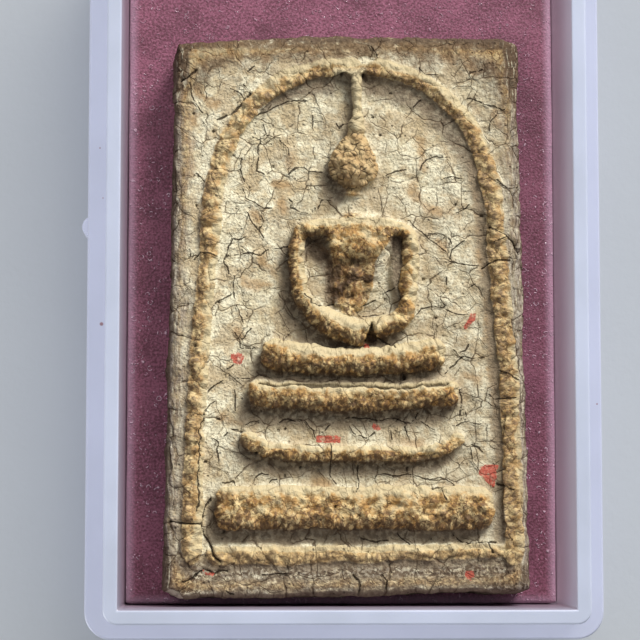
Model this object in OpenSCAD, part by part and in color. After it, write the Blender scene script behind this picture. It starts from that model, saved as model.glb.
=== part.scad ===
// A pressed lime-plaster amulet tablet that lies face up on a foam pad in an open plastic box tray.
// The tablet's relief shows a seated figure on a tiered throne under a bell-shaped arch.
// The origin is the middle of the tray's underside. +Y points from the throne to the arch's top.

/* [Tablet] */
// Width of the tablet at half its length
tablet_w = 25; // [22:0.5:32]
// Length of the tablet along its side edges
tablet_l = 39.3; // [36:0.1:50]
// Thickness of the slab at its border
slab_t = 4.2; // [3:0.1:6]
// Depth of the field inside the arch below the border
field_drop = 0.3; // [0.1:0.05:0.6]
// How much wider the foot end is than the top end
foot_flare = 1.3; // [0:0.1:3]
// How much further up the right-hand corners lie than the left-hand ones
end_skew = 0.4; // [0:0.1:1]
// Bulge of the top edge between its corners
top_crown = 0.3; // [0:0.1:1]
// Radius of the corners seen from above
corner_r = 1.3; // [1.1:0.1:3]
// Rounding of the face's outer edges
edge_round = 1; // [0.4:0.1:1.1]
// Rounding of the back's outer edges
back_round = 0.5; // [0.2:0.1:1]

/* [Arch] */
// Width of the arch between the middles of its ribs, where the curve springs
arch_w = 20; // [17:0.1:22]
// Width of the arch between the middles of its ribs, at its feet
arch_foot_w = 22.5; // [18:0.1:23]
// Height of the curved part of the arch
arch_h = 11.9; // [8:0.1:15]
// Distance from the tablet's top edge to the middle of the rib at the arch's top
arch_margin = 2; // [1.3:0.05:3]
// Distance from the tablet's foot edge to the end of the arch's feet
foot_margin = 2.75; // [1.5:0.05:4]
// Squareness of the arch's shoulders, 2 for an ellipse
arch_power = 2.3; // [2:0.1:3]
// Width of the arch's rib
rib_w = 1.5; // [0.7:0.05:1.6]
// Height of the arch's rib above the field
rib_h = 0.95; // [0.5:0.05:1.3]
// Width of the rib that closes the frame below the throne
border_rib_w = 1.6; // [0.8:0.05:1.8]
// Height of that rib above the field
border_rib_h = 0.75; // [0.4:0.05:1.2]

/* [Figure] */
// How far right of the tablet's middle the figure's axis lies
axis_shift = 0.45; // [-1:0.05:1]
// Height of the tallest relief, the head, above the field
relief_h = 1.3; // [0.8:0.05:1.6]
// Width of the head
head_w = 3.6; // [2.6:0.1:4.6]
// Length of the head from its crown to its chin
head_l = 4.2; // [3.2:0.1:5.2]
// Distance from the arch's top down to the middle of the head
head_drop = 6.8; // [5.5:0.1:8]
// Width of the spire on the head
spire_w = 0.8; // [0.5:0.05:1.2]
// How far right of the figure's axis the spire stands
spire_lean = 0.25; // [-0.5:0.05:0.5]
// Distance from the middle of the head down to the top of the shoulders
neck_drop = 4.1; // [3:0.1:5]
// Width across both arms
arms_w = 9.2; // [7:0.1:11]
// Height from the top of the shoulders to the underside of the hands
arms_l = 9; // [7:0.1:10.5]
// Thickness of the arms
arm_t = 1.2; // [0.8:0.05:1.4]

/* [Throne] */
// Width of the lowest and widest tier
throne_w = 19.5; // [15:0.1:20.5]
// Distance from the middle of the lap down to the middle of the lowest tier
throne_h = 10.15; // [8.5:0.05:11]
// Distance from the underside of the hands down to the middle of the lap
lap_drop = 1.2; // [0.6:0.05:1.6]

/* [Foam pad] */
// Thickness of the pad
pad_t = 3; // [1:0.1:5]
// Gap between the pad's sides and the tray's walls
pad_clearance = 0.1; // [0.05:0.05:0.4]
// Rounding of the pad's upright corners
pad_corner_r = 0.6; // [0.2:0.1:2]

/* [Box tray] */
// Room beside the tablet, the same left and right of a tablet that lies in the middle
side_room = 2.95; // [1:0.05:6]
// Room between the tablet and the wall at its foot
foot_room = 0.75; // [0.5:0.05:4]
// Room between the tablet and the wall at its top, where a finger lifts it out
finger_room = 5.95; // [5:0.05:12]
// How far right of the tray's middle the tablet lies
lie_shift = 0.2; // [-0.5:0.05:0.5]
// Height of the tray at its lip
tray_h = 13.8; // [11:0.1:20]
// Thickness of the tray's floor
floor_t = 1.2; // [0.8:0.1:2.5]
// Thickness of the lip that a lid slides over
lip_t = 1; // [0.8:0.05:2]
// Height of the lip above the ledge
lip_h = 4.3; // [1.5:0.1:6]
// Width of the ledge outside the lip, along the sides
ledge_side = 1.5; // [0.8:0.05:3]
// Width of the ledge outside the lip, along the ends
ledge_end = 1.2; // [0.8:0.05:3]
// Corner radius of the tray's outside
outer_r = 1.9; // [1:0.1:4]
// Corner radius of the lip's outside
lip_r = 1; // [0.4:0.1:2]
// Height of the moulding nub on the left side
nub_h = 2.2; // [1:0.1:4]
// Diameter of the moulding nub
nub_d = 1.5; // [1:0.1:3]
// How far the moulding nub stands out of the side
nub_proud = 0.4; // [0.2:0.05:0.45]
// How far up from the tray's middle the moulding nub stands
nub_y = 3.4; // [-10:0.1:15]

/* [Hidden] */
// Gap between faces that lie on each other
lie_gap = 0.05;
// How deep each raised form is rooted in the slab
root = 0.35;
// Flat steps in a quarter round of the slab's edges and corners
quarter_steps = 5;
// Flat steps in the section of a rib
arc_steps = 7;
// Flat steps in the round end of a rib
end_steps = 3;
// Sides of the domes that the head is blended from
dome_sides = 16;
// Share of the border rib's thickness that it keeps at its right end
border_taper = 0.75;

cavity_w = tablet_w + 2 * side_room;
cavity_l = foot_room + tablet_l + finger_room;
pad_top = floor_t + lie_gap + pad_t;
tablet_y = foot_room + (tablet_l - cavity_l) / 2;
field_z = slab_t - field_drop;

// Heights along the tablet, measured from its middle
apex_y = tablet_l / 2 - arch_margin;
spring_y = apex_y - arch_h;
foot_y = foot_margin - tablet_l / 2;
head_y = apex_y - head_drop;
shoulder_y = head_y - neck_drop;
lap_y = shoulder_y - arms_l - lap_drop;

// The arms' ring, clockwise from the middle of the shoulders.
// Columns: across and down as shares of the ring, thickness as a share of the arm's,
// height as a share of the head's
arm_rows = [
    [ 0.00, 0.00, 1.15, 0.70],
    [ 0.55, 0.00, 1.10, 0.72],
    [ 0.90, 0.03, 1.05, 0.78],
    [ 1.00, 0.13, 1.00, 0.80],
    [ 1.02, 0.32, 1.05, 0.80],
    [ 0.97, 0.61, 1.05, 0.78],
    [ 0.94, 0.75, 1.10, 0.78],
    [ 0.83, 0.88, 1.25, 0.82],
    [ 0.50, 0.95, 1.40, 0.88],
    [ 0.10, 1.00, 1.65, 0.92],
    [-0.25, 0.95, 1.60, 0.92],
    [-0.52, 0.87, 1.45, 0.90],
    [-0.77, 0.76, 1.20, 0.85],
    [-0.93, 0.63, 1.05, 0.80],
    [-0.99, 0.42, 1.00, 0.80],
    [-1.00, 0.17, 0.95, 0.80],
    [-0.93, 0.05, 1.00, 0.78],
    [-0.62, 0.00, 1.10, 0.72],
];

// The torso from the shoulders down to the waist.
// Columns: across and down as shares of the ring, width as a share of the room between the arms,
// height as a share of the head's
torso_rows = [
    [ 0.02, 0.04, 0.80, 0.70],
    [ 0.06, 0.13, 0.86, 0.78],
    [ 0.10, 0.24, 0.76, 0.80],
    [ 0.05, 0.44, 0.58, 0.76],
    [-0.02, 0.62, 0.47, 0.66],
    [-0.10, 0.78, 0.34, 0.54],
];

function unit(v) = v / norm(v);

// A point between b and c on a smooth curve through a, b, c and d
function curve_point(a, b, c, d, t) =
    0.5 * (2 * b + (c - a) * t + (2 * a - 5 * b + 4 * c - d) * t ^ 2 + (3 * b - a - 3 * c + d) * t ^ 3);

// Rows between the rows of a closed ring
function smooth_ring(rows, steps) =
    let (n = len(rows))
    [
        for (i = [0 : n - 1], s = [0 : steps - 1])
            curve_point(rows[(i + n - 1) % n], rows[i], rows[(i + 1) % n], rows[(i + 2) % n], s / steps)
    ];

// Direction of a rib's run at row i
function heading(rows, i, closed) =
    let (
        n = len(rows),
        before = rows[closed ? (i + n - 1) % n : max(i - 1, 0)],
        after = rows[closed ? (i + 1) % n : min(i + 1, n - 1)]
    )
    unit([after.x - before.x, after.y - before.y]);

// Section across a rib at row i, on a root that is sunk into the slab
function rib_section(rows, i, closed) =
    let (
        row = rows[i],
        run = heading(rows, i, closed),
        side = [-run.y, run.x] * row[2] / 2,
        lean = len(row) > 4 ? row[4] : 0,
        power = len(row) > 5 ? row[5] : 1
    )
    [
        for (s = [0 : arc_steps])
            let (
                a = 180 * s / arc_steps,
                up = sin(a) ^ power,
                across = sign(cos(a)) * abs(cos(a)) ^ power + lean * up
            )
            [row.x + side.x * across, row.y + side.y * across, field_z - root + (row[3] + root) * up]
    ];

// Row s of a rib's round end, which sinks into the slab
function end_row(row, run, reach, s) =
    let (
        a = 85 * s / end_steps,
        place = [row.x, row.y] + run * reach * sin(a)
    )
    [place.x, place.y, row[2] * cos(a), (row[3] + root) * cos(a) - root, row[4], row[5]];

// The rows of an open rib with a round end, reach long, added at each end
function round_ends(rows, reach) =
    let (last = len(rows) - 1)
    concat(
        [for (s = [end_steps : -1 : 1]) end_row(rows[0], -heading(rows, 0, false), reach, s)],
        rows,
        [for (s = [1 : end_steps]) end_row(rows[last], heading(rows, last, false), reach, s)]
    );

// Corner k of the slab, counted from the top right one anticlockwise
function slab_corner(k) =
    let (
        sx = k == 0 || k == 3 ? 1 : -1,
        sy = k < 2 ? 1 : -1
    )
    [
        sx * (tablet_w / 2 - sy * foot_flare / 4 - corner_r),
        sy * (tablet_l / 2 - corner_r) + sx * end_skew / 2
    ];

// The slab's outline, moved in by inset, with the crowned top edge between corners 0 and 1
function slab_ring(z, inset) =
    let (reach = corner_r - inset, a = slab_corner(0), b = slab_corner(1))
    [
        for (k = [0 : 3])
            each concat(
                [
                    for (s = [0 : quarter_steps])
                        let (angle = 90 * (k + s / quarter_steps), c = slab_corner(k))
                        [c.x + reach * cos(angle), c.y + reach * sin(angle), z]
                ],
                k > 0 ? [] : [
                    for (s = [1 : quarter_steps - 1])
                        let (t = s / quarter_steps, p = a + (b - a) * t)
                        [p.x, p.y + reach + 4 * top_crown * t * (1 - t), z]
                ]
            )
    ];

// A point of the arch's curved part, with angle 0 at the right springing and 180 at the left
function arch_curve(angle) =
    [
        axis_shift + sign(cos(angle)) * arch_w / 2 * abs(cos(angle)) ^ (2 / arch_power),
        spring_y + arch_h * abs(sin(angle)) ^ (2 / arch_power),
        rib_w,
        rib_h,
        0,
        1
    ];

// A point of one of the arch's legs, with rise 0 at its foot and 1 at the springing
function arch_leg(side, rise) =
    [
        axis_shift + side * (arch_foot_w / 2 - (arch_foot_w - arch_w) / 2 * rise ^ 2),
        foot_y + (spring_y - foot_y) * rise,
        rib_w,
        rib_h,
        0,
        1
    ];

arch_rows = let (leg_steps = 10, curve_steps = 36) concat(
    [for (s = [0 : leg_steps - 1]) arch_leg(1, s / leg_steps)],
    [for (s = [0 : curve_steps]) arch_curve(180 * s / curve_steps)],
    [for (s = [leg_steps - 1 : -1 : 0]) arch_leg(-1, s / leg_steps)]
);

// Place of a share across and down the arms' ring
function on_arms(across, down) =
    [
        axis_shift + across * (arms_w - arm_t) / 2,
        shoulder_y - arm_t / 2 - down * (arms_l - arm_t * 1.3)
    ];

// A closed solid through rings that have the same number of points
module loft(rings, closed = false) {
    n = len(rings[0]);
    count = len(rings);
    sides = [
        for (i = [0 : count - (closed ? 1 : 2)], k = [0 : n - 1])
            let (j = (i + 1) % count, m = (k + 1) % n)
            [i * n + k, j * n + k, j * n + m, i * n + m]
    ];
    caps = closed ? [] : [
        [for (k = [0 : n - 1]) k],
        [for (k = [n - 1 : -1 : 0]) (count - 1) * n + k]
    ];
    polyhedron(points = [for (ring = rings) each ring], faces = concat(sides, caps));
}

// A raised rib along rows of x, y, width, height and, where it isn't half round,
// lean of the crest towards the left of its run and power of the section, under 1 for a squarer one
module rib(rows, closed = false) {
    loft([for (i = [0 : len(rows) - 1]) rib_section(rows, i, closed)], closed);
}

// A low dome on the field, with its middle at place
module dome(place, width, length, height) {
    translate([place.x, place.y, field_z])
        scale([width / 2, length / 2, height])
            sphere(1, $fn = dome_sides);
}

// The pressed blank: rounded round the face and the back, with the sunk field inside the arch
module slab() {
    back = [
        for (s = [2 : -1 : 0])
            let (a = 45 * s)
            slab_ring(back_round * (1 - sin(a)), back_round * (1 - cos(a)))
    ];
    face = [
        for (s = [0 : quarter_steps])
            let (a = 90 * s / quarter_steps)
            slab_ring(slab_t - edge_round * (1 - sin(a)), edge_round * (1 - cos(a)))
    ];
    difference() {
        loft(concat(back, face));
        translate([0, 0, field_z])
            linear_extrude(field_drop + 1)
                polygon([for (row = arch_rows) [row.x, row.y]]);
    }
}

// The bell-shaped arch and the rib that closes it at the foot
module arch() {
    rib(round_ends(arch_rows, rib_w / 2));
    right = arch_rows[0];
    left = arch_rows[len(arch_rows) - 1];
    border_rows = [
        for (s = [0 : 0.5 : 1])
            let (
                x = left.x + border_rib_w + s * (right.x - left.x - border_rib_w),
                thickness = border_rib_w * (1 - (1 - border_taper) * s)
            )
            [x, foot_y + end_skew * s, thickness, border_rib_h, 0, 1]
    ];
    rib(round_ends(border_rows, border_rib_w / 2));
}

// A dome of the head, with its place and size as shares of the head's
module head_dome(across, up, width, length, height) {
    place = [axis_shift + across * head_w, head_y + up * head_l];
    dome(place, width * head_w, length * head_l, height * relief_h);
}

// The plain egg-shaped head, its spire up to the arch and the short neck below it
module head() {
    hull() {
        head_dome(0, -0.08, 1, 0.84, 1);
        head_dome(0.04, 0.3, 0.45, 0.4, 0.8);
    }
    spire_x = axis_shift + spire_lean;
    spire_rows = [
        [spire_x, head_y + head_l * 0.2, spire_w * 1.6, relief_h * 0.8, 0, 1],
        [spire_x, head_y + head_l * 0.55, spire_w * 1.5, relief_h * 0.72, 0, 1],
        [spire_x, head_y + head_l * 0.8, spire_w, relief_h * 0.62, 0, 1],
        [spire_x, apex_y, spire_w * 0.8, relief_h * 0.6, 0, 1]
    ];
    rib(round_ends(spire_rows, spire_w / 2));
    rib([
        [axis_shift, head_y - head_l * 0.3, head_w * 0.5, relief_h * 0.4],
        [axis_shift, shoulder_y - arm_t / 2, head_w * 0.9, relief_h * 0.4]
    ]);
}

// The torso and the ring of shoulders, arms and joined hands
module torso_and_arms() {
    ring = [for (row = arm_rows) concat(on_arms(row[0], row[1]), [row[2] * arm_t, row[3] * relief_h])];
    rib(smooth_ring(ring, 3), closed = true);
    torso = [
        for (row = torso_rows)
            concat(on_arms(row[0], row[1]), [row[2] * (arms_w - 2 * arm_t), row[3] * relief_h, 0, 1])
    ];
    rib(round_ends(torso, arm_t / 2));
}

// A bar that may curl up and swell at both ends. Drop, thickness and curl are shares of the throne's
// height, width of its width, and height of the head's. blunt is how far each end rounds off,
// 1 for a half round one, and lean and power shape the section as in a rib.
module tier(
    drop, width, thickness, height, curl = 0, curl_power = 2, lean = 0.2, power = 0.9, blunt = 1, swell = 0
) {
    t = thickness * throne_h;
    tip = t * blunt * (1 + swell) / 2;
    stations = 5;
    rows = [
        for (i = [-stations : stations])
            let (s = sin(90 * i / stations))
            [
                axis_shift + s * (width * throne_w / 2 - tip),
                lap_y + (curl * abs(s) ^ curl_power - drop) * throne_h,
                t * (1 + swell * s ^ 2),
                height * relief_h,
                lean,
                power
            ]
    ];
    rib(round_ends(rows, tip));
}

// The crossed legs and the four tiers below them
module lap_and_throne() {
    tier(0, 0.68, 0.2, 0.92, curl = 0.055, blunt = 0.8, swell = 0.2);
    tier(0.128, 0.69, 0.04, 0.26, curl = 0.032);
    tier(0.251, 0.765, 0.21, 0.76, curl = 0.035, blunt = 0.5);
    tier(0.63, 0.82, 0.12, 0.56, curl = 0.105, curl_power = 8);
    tier(1, 1, 0.3, 0.77, lean = 0.1, power = 0.6, blunt = 0.45);
}

// The whole tablet as one pressed solid
module amulet_tablet() {
    color("wheat")
        translate([lie_shift, tablet_y, pad_top + lie_gap]) {
            slab();
            arch();
            head();
            torso_and_arms();
            lap_and_throne();
        }
}

// A plate with round corners that stands on z = 0
module round_plate(w, l, h, r) {
    linear_extrude(h) {
        square([w - 2 * r, l], center = true);
        square([w, l - 2 * r], center = true);
        for (sx = [-1, 1], sy = [-1, 1])
            translate([sx * (w / 2 - r), sy * (l / 2 - r)])
                circle(r, $fn = 48);
    }
}

module foam_pad() {
    color("mediumvioletred")
        translate([0, 0, floor_t + lie_gap])
            round_plate(cavity_w - 2 * pad_clearance, cavity_l - 2 * pad_clearance, pad_t, pad_corner_r);
}

module box_tray() {
    lip_w = cavity_w + 2 * lip_t;
    lip_l = cavity_l + 2 * lip_t;
    outer_w = lip_w + 2 * ledge_side;
    color("lavender")
        difference() {
            union() {
                round_plate(outer_w, lip_l + 2 * ledge_end, tray_h - lip_h, outer_r);
                round_plate(lip_w, lip_l, tray_h, lip_r);
                translate([nub_d / 2 - nub_proud - outer_w / 2, nub_y, tray_h - lip_h - nub_h])
                    cylinder(h = nub_h, d = nub_d, $fn = 32);
            }
            translate([-cavity_w / 2, -cavity_l / 2, floor_t])
                cube([cavity_w, cavity_l, tray_h]);
        }
}

amulet_tablet();
foam_pad();
box_tray();
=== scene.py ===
import math

import bpy
from mathutils import Matrix, Vector


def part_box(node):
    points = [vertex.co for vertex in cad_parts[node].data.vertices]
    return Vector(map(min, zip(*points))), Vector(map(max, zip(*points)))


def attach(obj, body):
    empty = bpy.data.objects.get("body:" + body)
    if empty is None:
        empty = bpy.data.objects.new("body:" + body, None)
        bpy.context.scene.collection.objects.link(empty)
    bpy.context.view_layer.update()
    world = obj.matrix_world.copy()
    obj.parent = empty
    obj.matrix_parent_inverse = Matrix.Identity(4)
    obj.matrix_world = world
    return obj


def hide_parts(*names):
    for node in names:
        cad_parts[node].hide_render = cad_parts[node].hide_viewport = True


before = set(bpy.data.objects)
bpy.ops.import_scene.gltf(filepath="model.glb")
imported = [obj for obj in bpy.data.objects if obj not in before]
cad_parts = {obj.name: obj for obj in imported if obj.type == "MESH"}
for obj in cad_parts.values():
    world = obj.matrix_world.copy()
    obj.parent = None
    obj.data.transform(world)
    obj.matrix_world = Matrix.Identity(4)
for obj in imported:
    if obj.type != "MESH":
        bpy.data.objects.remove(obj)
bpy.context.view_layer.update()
mm = 0.001

print("camera")

# The photograph's camera, in mm: it looks down from a little to the left and below the middle
view = {
    "eye": (-7.5, -17.2, 165.45),
    "aim": (-1.7, -3.0, 8.45),
    "focalPixels": 2247,
    "photoPixels": 640,
    "sensor": 36,
}
eye = Vector(view["eye"])
ahead = (Vector(view["aim"]) - eye).normalized()
rightward = ahead.cross(Vector((0, 1, 0))).normalized()
upward = rightward.cross(ahead)


def onPlane(pixel, height):
    # The place in mm that a pixel of the photograph shows on a level plane
    middle = view["photoPixels"] / 2
    across = (pixel[0] - middle) / view["focalPixels"]
    down = (pixel[1] - middle) / view["focalPixels"]
    ray = ahead + rightward * across - upward * down
    return eye + ray * ((height - eye.z) / ray.z)


cameraData = bpy.data.cameras.new("photoCamera")
cameraData.sensor_width = view["sensor"]
cameraData.lens = view["sensor"] * view["focalPixels"] / view["photoPixels"]
cameraData.clip_start = 0.01
cameraData.clip_end = 10
camera = bpy.data.objects.new("photoCamera", cameraData)
bpy.context.scene.collection.objects.link(camera)
axes = Matrix((rightward, upward, -ahead)).transposed().to_4x4()
camera.matrix_world = Matrix.Translation(eye * mm) @ axes
bpy.context.scene.camera = camera


class Sock:
    # A node's output: arithmetic on it adds Math nodes
    def __init__(self, net, socket):
        self.net = net
        self.socket = socket

    def __add__(self, other):
        return self.net.maths("ADD", self, other)

    def __radd__(self, other):
        return self.net.maths("ADD", other, self)

    def __sub__(self, other):
        return self.net.maths("SUBTRACT", self, other)

    def __rsub__(self, other):
        return self.net.maths("SUBTRACT", other, self)

    def __mul__(self, other):
        return self.net.maths("MULTIPLY", self, other)

    def __rmul__(self, other):
        return self.net.maths("MULTIPLY", other, self)


class Net:
    # Adds nodes to the tree of a material or of a Geometry Nodes modifier
    def __init__(self, tree):
        self.tree = tree

    def add(self, kind, settings=None, values=None, out=0):
        # Settings come first, because they decide which sockets the node has
        node = self.tree.nodes.new(kind)
        for name, value in (settings or {}).items():
            setattr(node, name, value)
        for name, value in (values or {}).items():
            if isinstance(value, Sock):
                self.tree.links.new(value.socket, node.inputs[name])
            else:
                node.inputs[name].default_value = value
        return Sock(self, node.outputs[out])

    def maths(self, operation, a, b=0.0):
        return self.add("ShaderNodeMath", {"operation": operation}, {0: a, 1: b})

    def least(self, a, b):
        return self.maths("MINIMUM", a, b)

    def most(self, a, b):
        return self.maths("MAXIMUM", a, b)

    def vector(self, operation, a, b, out=0):
        return self.add("ShaderNodeVectorMath", {"operation": operation}, {0: a, 1: b}, out)

    def scaled(self, a, size):
        return self.add("ShaderNodeVectorMath", {"operation": "SCALE"}, {0: a, "Scale": size})

    def parts(self, a):
        return [self.add("ShaderNodeSeparateXYZ", None, {0: a}, i) for i in range(3)]

    def joined(self, x, y, z=0.0):
        return self.add("ShaderNodeCombineXYZ", None, {0: x, 1: y, 2: z})

    def ease(self, value, low, high, start=0.0, end=1.0):
        # start at or below low, end at or above high, smooth between; low may be the larger
        spans = {"Value": value, "From Min": low, "From Max": high, "To Min": start, "To Max": end}
        return self.add("ShaderNodeMapRange", {"interpolation_type": "SMOOTHSTEP"}, spans)

    def blend(self, share, a, b):
        return self.add("ShaderNodeMix", {"data_type": "FLOAT"}, {0: share, 2: a, 3: b}, 0)

    def paint(self, share, a, b):
        # b over a, by share
        rgb = [c if isinstance(c, Sock) else (*c, 1) for c in (a, b)]
        values = {0: share, 6: rgb[0], 7: rgb[1]}
        return self.add("ShaderNodeMix", {"data_type": "RGBA"}, values, 2)

    def moved(self, at, shift):
        # The same pattern elsewhere, so that two uses of it don't match
        return self.vector("ADD", at, (shift, shift * 1.7, shift * 0.6)) if shift else at

    def noise(self, at, size, detail=2.0, shift=0.0, out=0, flat=True):
        # size is the width of one blotch, in the unit of at
        settings = {"noise_dimensions": "2D" if flat else "3D"}
        values = {"Vector": self.moved(at, shift), "Scale": 1 / size}
        values.update({"Detail": detail, "Roughness": 0.55})
        return self.add("ShaderNodeTexNoise", settings, values, out)

    def solidNoise(self, at, size, detail=2.0, shift=0.0):
        return self.noise(at, size, detail, shift, 0, False)

    def blotches(self, at, size, detail, shift, low, high, start=0.0, end=1.0):
        # A mask of the noise: start where it is below low, end where it is above high
        return self.ease(self.noise(at, size, detail, shift), low, high, start, end)

    def voronoi(self, at, size, feature, out, shift, flat):
        settings = {"voronoi_dimensions": "2D" if flat else "3D", "feature": feature}
        values = {"Vector": self.moved(at, shift), "Scale": 1 / size}
        return self.add("ShaderNodeTexVoronoi", settings, values, out)

    def cells(self, at, size, feature="F1", shift=0.0, flat=True):
        # The way to a cell's middle or edge, in the unit of at; size is the width of one cell
        return self.voronoi(at, size, feature, 0, shift, flat) * size

    def cellTone(self, at, size, shift=0.0, flat=True, part=0):
        # A number from 0 to 1 that is the same all over one cell
        return self.parts(self.voronoi(at, size, "F1", 1, shift, flat))[part]

    def bent(self, at, size, reach, flat=True):
        # at, pushed about by as much as reach
        push = self.vector("SUBTRACT", self.noise(at, size, 2, 3.3, 1, flat), (0.5, 0.5, 0.5))
        return self.vector("ADD", at, self.scaled(push, 2 * reach))

    def place(self):
        # Where a point of a piece lies, in mm
        return self.scaled(self.add("ShaderNodeTexCoord", None, None, "Object"), 1 / mm)

    def bump(self, height, strength, distance=mm):
        values = {"Strength": strength, "Distance": distance, "Height": height}
        return self.add("ShaderNodeBump", None, values)


class Coats:
    # Paint laid on in layers, in the colours of one look
    def __init__(self, net, look, first):
        self.net = net
        self.look = look
        self.colour = look[first]

    def lay(self, tint, share):
        over = self.look[tint] if isinstance(tint, str) else tint
        self.colour = self.net.paint(share, self.colour, over)


def srgb(*levels):
    # A colour as picture levels from 0 to 255, turned into the shader's linear numbers
    unit = [level / 255 for level in levels]
    return tuple(c / 12.92 if c <= 0.04045 else ((c + 0.055) / 1.055) ** 2.4 for c in unit)


def makeMaterial(name, finish):
    # finish takes the net and gives the shader's socket values and links
    material = bpy.data.materials.new(name)
    material.use_nodes = True
    net = Net(material.node_tree)
    shader = net.tree.nodes["Principled BSDF"]
    for socket, value in finish(net).items():
        if isinstance(value, Sock):
            net.tree.links.new(value.socket, shader.inputs[socket])
        else:
            shader.inputs[socket].default_value = value
    return material


def onlyActive(piece):
    if bpy.context.mode != "OBJECT":
        bpy.ops.object.mode_set(mode="OBJECT")
    bpy.ops.object.select_all(action="DESELECT")
    piece.select_set(True)
    bpy.context.view_layer.objects.active = piece


def edited(piece, kind, select=None, step=None, **settings):
    # One step in Edit Mode on all of a piece, on none of it or on what is selected
    onlyActive(piece)
    bpy.ops.object.mode_set(mode="EDIT")
    bpy.ops.mesh.select_mode(type=kind)
    if select:
        bpy.ops.mesh.select_all(action=select)
    if step:
        step(**settings)
    bpy.ops.object.mode_set(mode="OBJECT")


def applyModifier(piece, kind, **settings):
    onlyActive(piece)
    modifier = piece.modifiers.new(kind.lower(), kind)
    for name, value in settings.items():
        setattr(modifier, name, value)
    bpy.ops.object.modifier_apply(modifier=modifier.name)


def applyNodes(piece, name, build):
    # Runs a Geometry Nodes modifier that build lays out, and applies it
    tree = bpy.data.node_groups.new(name, "GeometryNodeTree")
    tree.interface.new_socket("Geometry", in_out="INPUT", socket_type="NodeSocketGeometry")
    tree.interface.new_socket("Geometry", in_out="OUTPUT", socket_type="NodeSocketGeometry")
    net = Net(tree)
    shaped = build(net, net.add("NodeGroupInput"))
    end = tree.nodes.new("NodeGroupOutput")
    tree.links.new(shaped.socket, end.inputs[0])
    applyModifier(piece, "NODES", node_group=tree)


def resized(piece, size):
    onlyActive(piece)
    piece.scale = (size, size, size)
    bpy.ops.object.transform_apply(location=True, rotation=True, scale=True)


def copyOfNode(node, name):
    # A merged copy of a CAD node's mesh, in mm
    piece = bpy.data.objects.new(name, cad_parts[node].data.copy())
    bpy.context.scene.collection.objects.link(piece)
    edited(piece, "VERT", "SELECT", bpy.ops.mesh.remove_doubles, threshold=1e-6)
    resized(piece, 1 / mm)
    return piece


print("tablet")

tabletLook = {
    "voxel": 0.145,              # mm between the points of the sculpted surface
    "fieldHeight": 8.2,          # height of the sunk field over the table
    "borderHeight": 8.5,
    "chestHeight": 9.0,
    "slotHeight": 8.65,
    "underside": 4.3,
    "top": 17.3,                 # where the slab's top edge lies
    "foot": -22.1,
    "taper": 0.0165,             # how much each side leans out for each mm down
    "middle": 0.2,
    "halfWide": 12.5,
    "cornerBand": 1.3,           # how far in from a corner the slab is squared
    "cornerPush": 0.36,
    "swell": 0.1,                # how much fuller the worn forms are than the mould
    "sway": 0.35,                # how far the outlines wander
    "worn": 0.55,                # the share of their height that the arch and the border have lost
    "wornRight": 0.75,
    "pressed": 0.78,             # the same for the hollows, the neck and the notch in the hands
    "shallow": 0.3,
    "broadSwell": (0.55, 0.22),  # height of the broadest waves, on the walls and on the face
    "unevenness": [(1.7, 37, 0.26), (0.85, 39, 0.15), (0.36, 41, 0.035)],   # width, shift, height
    # For each mark: how far from it the change of height starts, how near it is full, and its size
    "curls": {"wideCracks": (0.45, 0.12, 0.06), "hairCracks": (0.32, 0.08, 0.05)},
    "dents": {
        "wideCracks": (0.16, 0.03, 0.22),
        "hairCracks": (0.13, 0.02, 0.13),
        "chips": (0.12, 0.0, 0.1),
        "pits": (0.2, 0.05, 0.2),
        "creases": (0.2, 0.05, 0.3),
    },
    "wideLine": 0.09,            # half the painted width of a crack
    "hairLine": 0.065,
    "lightSide": (0.5, 0.86, 0),    # the way to the key lamp, in plan: slopes facing it get fewer granules and are painted paler, a painted highlight
    "castShadowWay": (0.47, 0.81, 0.34),   # the way to the key lamp: painted shadow, with some grime, lies where something stands this way from it
    "castShadowReach": 2.6,
    "head": (353, 162),          # pixel of the photograph at the middle of the head
    "spireAcross": 0.45,
    "plateSize": 2.4,
    "fineSize": 1.3,
    "beadSize": 0.46,
    "nuggetSize": 0.8,
    "pinSize": 0.75,
    "cream": srgb(204, 190, 155),
    "chalk": srgb(226, 217, 186),
    "tan": srgb(172, 146, 106),
    "ochre": srgb(160, 124, 80),
    "amber": srgb(172, 132, 76),
    "honey": srgb(212, 184, 130),
    "gold": srgb(168, 122, 60),
    "butter": srgb(188, 174, 138),
    "brown": srgb(100, 68, 38),
    "rust": srgb(112, 88, 62),
    "bark": srgb(84, 64, 46),
    "umber": srgb(46, 32, 21),
    "dust": srgb(126, 111, 90),
    "ash": srgb(142, 130, 120),
    "soot": srgb(92, 76, 60),
    "red": srgb(172, 80, 64),
}

# Marks seen in the photograph, by its pixels: lines first, then outlines, then points
wideCracks = [
    [(182, 82), (187, 78), (191, 74), (197, 69)],
    [(217, 120), (226, 115), (231, 114), (239, 107), (243, 101), (252, 94)],
    [(210, 498), (204, 507), (202, 516), (199, 524)],
    [(170, 523), (185, 523.5), (199, 523.5)],
    [(199, 524), (203, 534), (208, 542), (212, 548), (214, 556), (220, 562)],
    [(201, 571), (191, 578), (182, 582)],
    [(204, 569), (214, 574), (218, 570), (226, 571)],
    [(488, 228), (498, 229), (505, 235), (514, 244), (520, 254)],
    [(372, 327), (371, 332), (370, 337), (370, 341)],
    [(373, 331), (373, 336), (374, 340)],
    [(371, 334), (366, 342), (364, 347)],
    [(374, 339), (381, 341), (388, 344), (395, 349)],
    [(472, 445), (477, 447), (483, 452)],
    [(498, 482), (505, 485), (514, 490)],
    [(482, 268), (488, 264), (496, 259), (508, 260)],
    [(311, 303), (318, 306.5), (326, 307), (333, 305)],
    [(353, 575), (358, 580), (359, 592)],
]
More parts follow.
